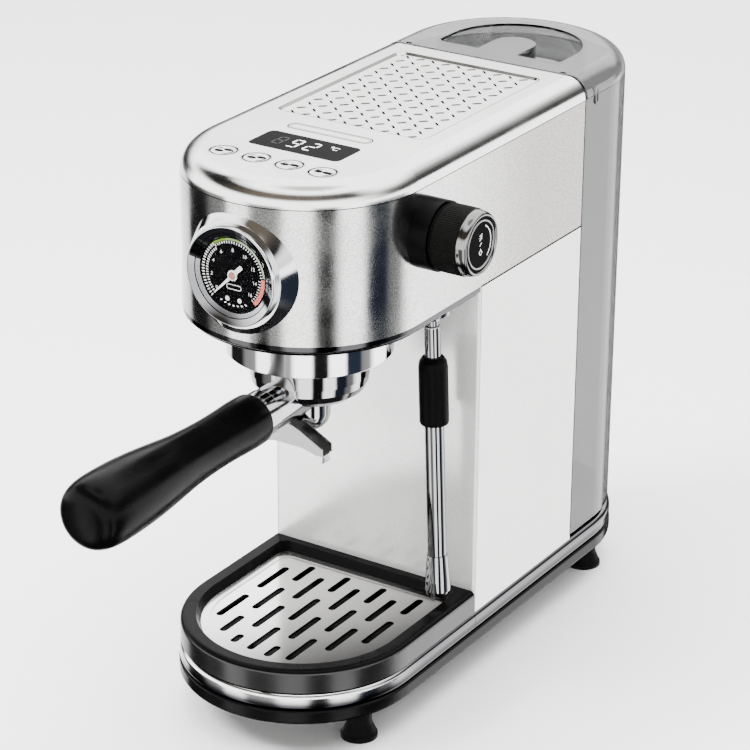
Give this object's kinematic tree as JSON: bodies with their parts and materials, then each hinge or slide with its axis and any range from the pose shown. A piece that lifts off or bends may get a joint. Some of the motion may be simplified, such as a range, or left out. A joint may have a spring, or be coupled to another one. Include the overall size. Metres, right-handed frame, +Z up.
{
  "type": "espresso machine",
  "caption": "Slim pump espresso machine with round ends, portafilter, steam wand, pressure gauge, drip tray, cup warmer and lift-off rear water reservoir with hinged lid.",
  "frame": {"origin": "centre of the bounding box's footprint, on the plane under the feet", "axes": "+Z up; -Y is the front, where the handle points; +X is the user's right, the side with the steam knob"},
  "size_m": [0.1722, 0.4834, 0.3302],
  "materials": {
    "brushed_steel": "fine horizontal brushing",
    "polished_steel": "bright, close to a mirror",
    "chrome_trim": "polished",
    "sheet_steel": "satin",
    "black_satin": "satin black",
    "dark_plastic": "satin, nearly black",
    "black_gloss": "glossy black",
    "button_steel": "satin with printed ring and symbol",
    "rubber_black": "matte",
    "smoke_plastic": "clear smoke tint, polished",
    "valve_white": "satin white",
    "display_glass": "glossy black with white figures",
    "lens_clear": "clear",
    "dial_black": "matte black with printed scale",
    "needle_white": "white",
    "heater_aluminium": "as cast",
    "brass_cast": "machined casting",
    "board_green": "solder mask",
    "silicone": "milky",
    "pipe_white": "satin white",
    "pump_coil": "satin"
  },
  "bodies": {
    "machine": {"base_pan": "dark_plastic", "base_trim_front": "chrome_trim", "base_trim_rear": "chrome_trim", "base_deck": "dark_plastic", "rubber_feet": "rubber_black", "tank_seat": "rubber_black", "cord_gland": "rubber_black", "column_shell": "polished_steel", "head_shell": "brushed_steel", "top_cover": "brushed_steel", "cup_warmer": "brushed_steel", "head_underside": "black_satin", "head_rim": "chrome_trim", "bay_wall": "dark_plastic", "chassis_frame": "sheet_steel", "display_window": "display_glass", "button_board": "board_green", "control_board": "board_green", "gauge_flange": "brushed_steel", "gauge_bezel": "chrome_trim", "gauge_lens": "lens_clear", "gauge_case": "black_gloss", "gauge_dial": "dial_black", "knob_collar": "black_satin", "steam_valve": "brass_cast", "wand_socket": "chrome_trim", "group_collar": "chrome_trim", "group_head": "sheet_steel", "group_gasket": "rubber_black", "shower_screen": "sheet_steel", "thermoblock": "heater_aluminium", "pump": "pump_coil", "pump_mounts": "rubber_black", "water_hoses": "silicone", "pressure_pipes": "pipe_white"},
    "tray": {"drip_tray": "black_satin"},
    "grid": {"drip_grid": "sheet_steel"},
    "portafilter": {"portafilter_body": "chrome_trim", "filter_basket": "sheet_steel", "handle_collar": "chrome_trim", "handle": "black_satin", "outlet_boss": "chrome_trim", "twin_spout": "sheet_steel"},
    "steam_control": {"steam_knob": "black_satin", "knob_ring": "chrome_trim", "knob_face": "black_gloss", "valve_stem": "chrome_trim"},
    "swivel": {"wand_swivel": "chrome_trim"},
    "wand": {"steam_wand": "chrome_trim", "wand_grip": "black_satin", "froth_sleeve": "sheet_steel"},
    "pointer": {"gauge_needle": "needle_white"},
    "key_1": {"button_1": "button_steel"},
    "key_2": {"button_2": "button_steel"},
    "key_3": {"button_3": "button_steel"},
    "key_4": {"button_4": "button_steel"},
    "reservoir": {"tank": "smoke_plastic", "tank_valve": "valve_white"},
    "reservoir_lid": {"tank_lid": "smoke_plastic", "lid_pins": "chrome_trim"}
  },
  "joints": [
    {"name": "tray_slide", "type": "slide", "parent": "machine", "child": "tray", "axis": [0, -1, 0], "range_m": [0, 0.15]},
    {"name": "grid_lift", "type": "slide", "parent": "tray", "child": "grid", "axis": [0, 0, 1], "range_m": [0, 0.007]},
    {"name": "portafilter_turn", "type": "hinge", "parent": "machine", "child": "portafilter", "pos_m": [-0.0157, -0.0387, 0.2], "axis": [0, 0, 1], "range_deg": [-50, 0]},
    {"name": "steam_turn", "type": "hinge", "parent": "machine", "child": "steam_control", "pos_m": [0.0743, -0.0296, 0.2915], "axis": [1, 0, 0], "range_deg": [0, 270]},
    {"name": "wand_turn", "type": "hinge", "parent": "machine", "child": "swivel", "pos_m": [0.0336, 0.0073, 0.235], "axis": [0, 0, 1], "range_deg": [-95, 15]},
    {"name": "wand_tilt", "type": "hinge", "parent": "swivel", "child": "wand", "pos_m": [0.0336, 0.0073, 0.232], "axis": [0, -1, 0], "range_deg": [0, 34]},
    {"name": "gauge_sweep", "type": "hinge", "parent": "machine", "child": "pointer", "pos_m": [-0.0157, -0.1087, 0.2786], "axis": [0, 1, 0], "range_deg": [0, 270], "stiffness_Nm_per_rad": 0.0004, "springref_deg": -17.19},
    {"name": "reservoir_lift", "type": "slide", "parent": "machine", "child": "reservoir", "axis": [0, 0, 1], "range_m": [0, 0.3]},
    {"name": "lid_hinge", "type": "hinge", "parent": "reservoir", "child": "reservoir_lid", "pos_m": [-0.0157, 0.1417, 0.3281], "axis": [1, 0, 0], "range_deg": [0, 80]},
    {"name": "press_1", "type": "slide", "parent": "machine", "child": "key_1", "axis": [0, 0, -1], "range_m": [0, 0.0009], "stiffness_N_per_m": 900, "springref_m": -0.0006},
    {"name": "press_2", "type": "slide", "parent": "machine", "child": "key_2", "axis": [0, 0, -1], "range_m": [0, 0.0009], "stiffness_N_per_m": 900, "springref_m": -0.0006},
    {"name": "press_3", "type": "slide", "parent": "machine", "child": "key_3", "axis": [0, 0, -1], "range_m": [0, 0.0009], "stiffness_N_per_m": 900, "springref_m": -0.0006},
    {"name": "press_4", "type": "slide", "parent": "machine", "child": "key_4", "axis": [0, 0, -1], "range_m": [0, 0.0009], "stiffness_N_per_m": 900, "springref_m": -0.0006}
  ]
}
